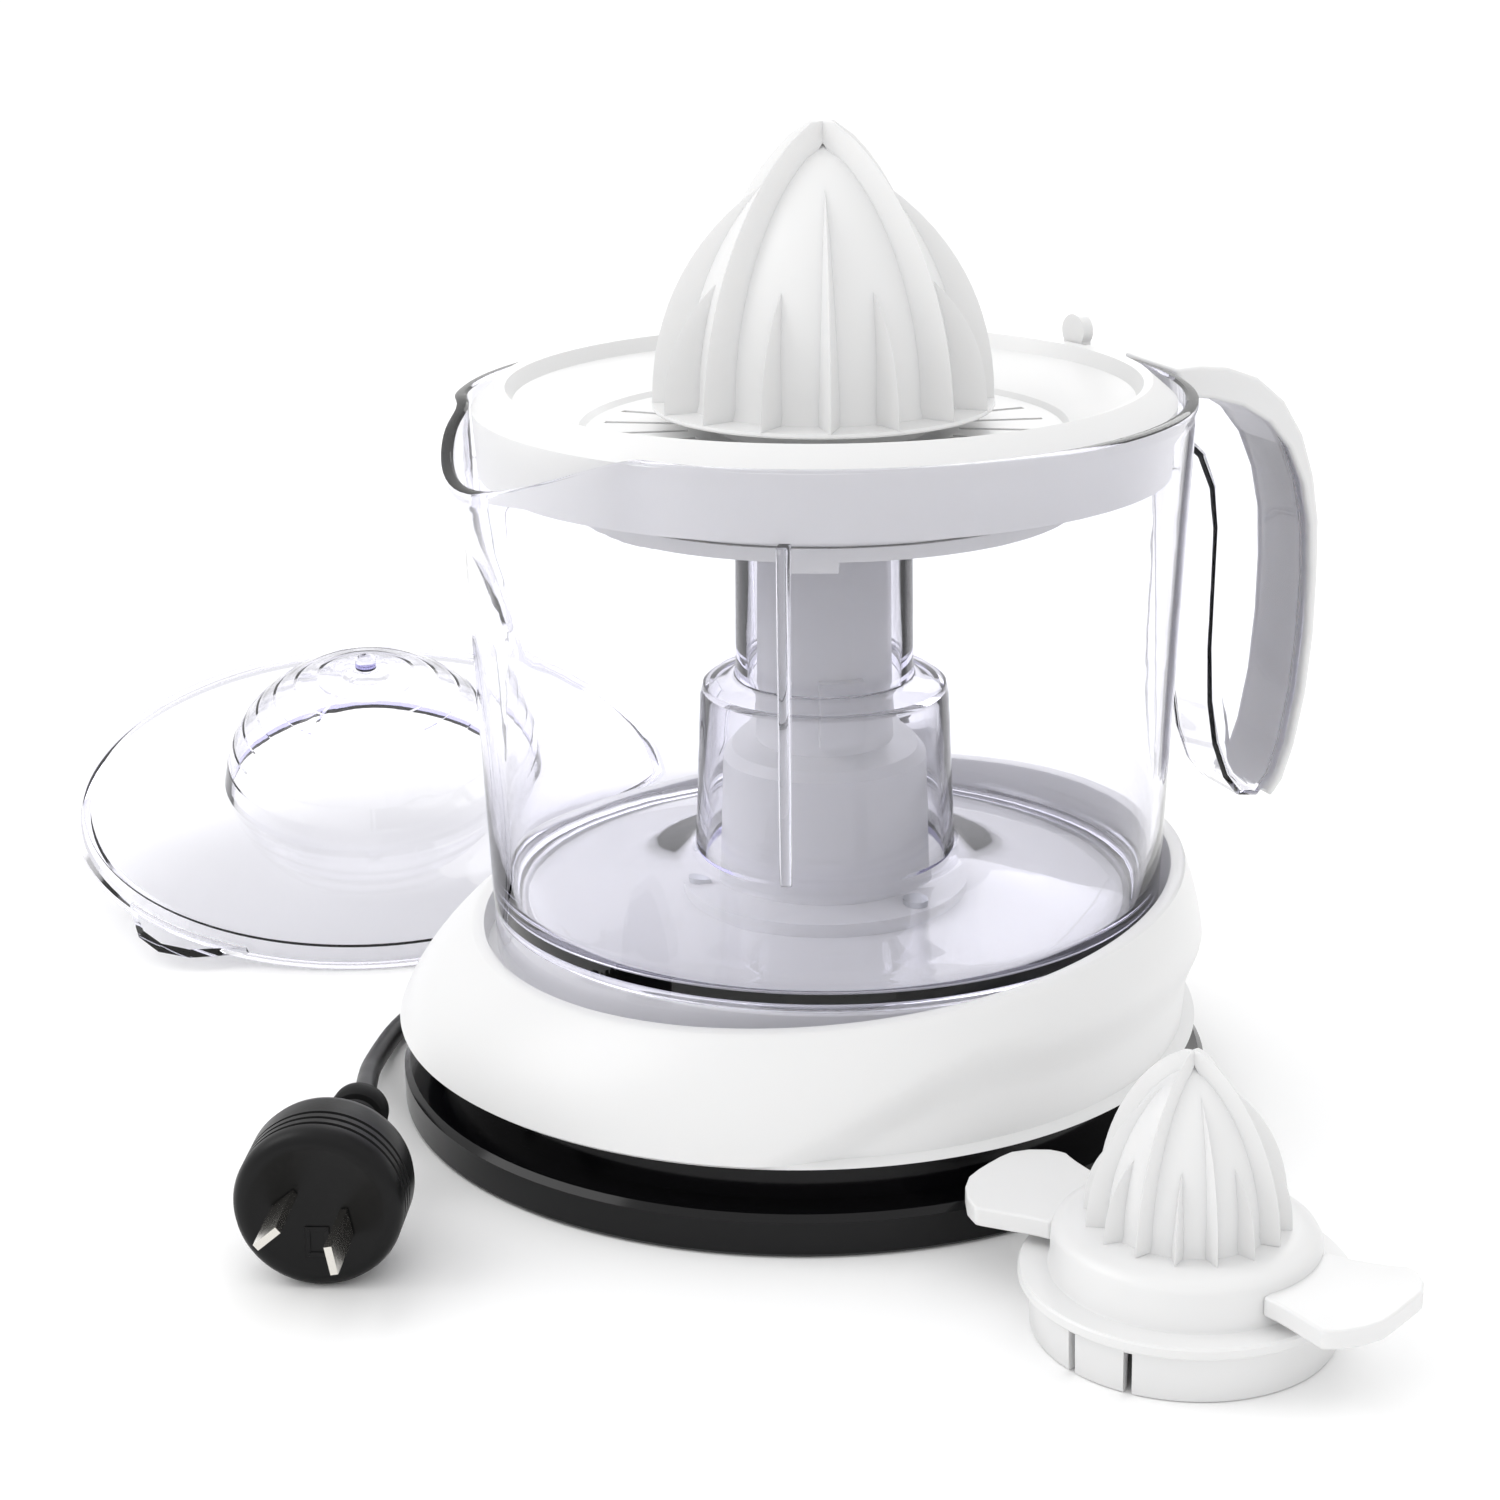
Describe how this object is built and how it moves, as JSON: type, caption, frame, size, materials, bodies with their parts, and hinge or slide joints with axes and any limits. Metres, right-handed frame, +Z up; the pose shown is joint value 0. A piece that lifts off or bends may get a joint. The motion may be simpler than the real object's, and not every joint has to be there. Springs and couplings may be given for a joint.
{
  "type": "citrus press juicer",
  "caption": "Electric citrus press: motor base with drive tower, clear jug with handle and spout, strainer, ribbed reaming cones, dust cover and mains lead with plug.",
  "frame": {"origin": "on the drive axis at the underside of the base, on the surface it stands on", "axes": "+Z up along the drive axis, -Y towards the jug's spout, +Y towards its handle"},
  "size_m": [0.4627, 0.2836, 0.2267],
  "materials": {
    "white_abs": "moulded white plastic, fine satin",
    "black_plastic": "moulded glossy black plastic",
    "clear_san": "clear moulded styrene with a faint violet tint",
    "steel": "zinc-plated steel",
    "plate_steel": "pressed and ground steel",
    "copper": "enamelled copper winding",
    "nylon": "moulded nylon",
    "switch_black": "moulded switch case",
    "rubber": "soft moulded rubber",
    "cord_pvc": "extruded and moulded black PVC",
    "pin_metal": "nickel-plated brass"
  },
  "bodies": {
    "base": {"base_tray": "black_plastic", "base_housing": "white_abs", "drive_tower": "white_abs", "tower_screws": "steel", "rubber_feet": "rubber", "tray_screws": "steel", "gearbox_plate": "plate_steel", "plate_screws": "steel", "idler_pin": "steel", "stator_core": "plate_steel", "motor_coil": "copper", "motor_bracket": "plate_steel", "motor_screws": "steel", "spindle_bush": "nylon", "micro_switch": "switch_black", "switch_mount": "nylon", "cord_gland": "rubber", "cord_clamp": "nylon", "cord_coil": "cord_pvc", "coil_tie": "cord_pvc", "plug_body": "cord_pvc", "plug_relief": "rubber", "plug_pins": "pin_metal", "mains_cord_lead": "cord_pvc", "mains_cord_run": "cord_pvc"},
    "rotor": {"rotor": "plate_steel", "motor_pinion": "nylon"},
    "idler": {"idler_gear": "nylon"},
    "output": {"output_gear": "nylon", "return_spring": "steel"},
    "spindle": {"drive_spindle": "plate_steel"},
    "plunger": {"switch_plunger": "nylon"},
    "jug": {"jug": "clear_san", "jug_column": "clear_san", "jug_handle": "clear_san", "handle_cover": "white_abs"},
    "strainer": {"strainer": "white_abs"},
    "selector": {"pulp_selector": "white_abs"},
    "cone_ring": {"cone_seat_ring": "nylon"},
    "cone": {"reamer_cone": "white_abs"},
    "small_cone": {"small_cone": "white_abs"},
    "dust_cover": {"dust_cover": "clear_san"}
  },
  "joints": [
    {"name": "output_spin", "type": "hinge", "parent": "base", "child": "output", "pos_m": [0, 0, 0.03], "axis": [0, 0, 1], "continuous": true},
    {"name": "idler_spin", "type": "hinge", "parent": "base", "child": "idler", "pos_m": [-0.03915, 0, 0.03], "axis": [0, 0, 1], "continuous": true},
    {"name": "rotor_spin", "type": "hinge", "parent": "base", "child": "rotor", "pos_m": [-0.01957, -0.0339, 0.014], "axis": [0, 0, 1], "continuous": true},
    {"name": "spindle_press", "type": "slide", "parent": "output", "child": "spindle", "axis": [0, 0, 1], "range_m": [-0.003, 0], "stiffness_N_per_m": 400, "springref_m": 0.0045, "deforming": ["return_spring"]},
    {"name": "switch_press", "type": "slide", "parent": "base", "child": "plunger", "axis": [0, 0, 1], "range_m": [-0.003, 0]},
    {"name": "jug_lift", "type": "slide", "parent": "base", "child": "jug", "axis": [0, 0, 1], "range_m": [0, 0.2]},
    {"name": "strainer_lift", "type": "slide", "parent": "jug", "child": "strainer", "axis": [0, 0, 1], "range_m": [0, 0.08]},
    {"name": "selector_turn", "type": "hinge", "parent": "strainer", "child": "selector", "pos_m": [0, 0, 0.144], "axis": [0, 0, 1], "range_deg": [0, 20]},
    {"name": "cone_lift", "type": "slide", "parent": "strainer", "child": "cone_ring", "axis": [0, 0, 1], "range_m": [0, 0.1]},
    {"name": "cone_spin", "type": "hinge", "parent": "cone_ring", "child": "cone", "pos_m": [0, 0, 0.17], "axis": [0, 0, 1], "continuous": true},
    {"name": "small_cone_lift", "type": "slide", "parent": "base", "child": "small_cone", "axis": [0, 0, 1], "range_m": [0, 0.1]},
    {"name": "dust_cover_lift", "type": "slide", "parent": "base", "child": "dust_cover", "axis": [0, 0, 1], "range_m": [0, 0.1]}
  ],
  "couplings": [
    {"joint": "cone_spin", "follows": "rotor_spin", "ratio": 0.09},
    {"joint": "idler_spin", "follows": "rotor_spin", "ratio": -0.3},
    {"joint": "output_spin", "follows": "rotor_spin", "ratio": 0.09},
    {"joint": "switch_press", "follows": "spindle_press", "ratio": 1}
  ]
}
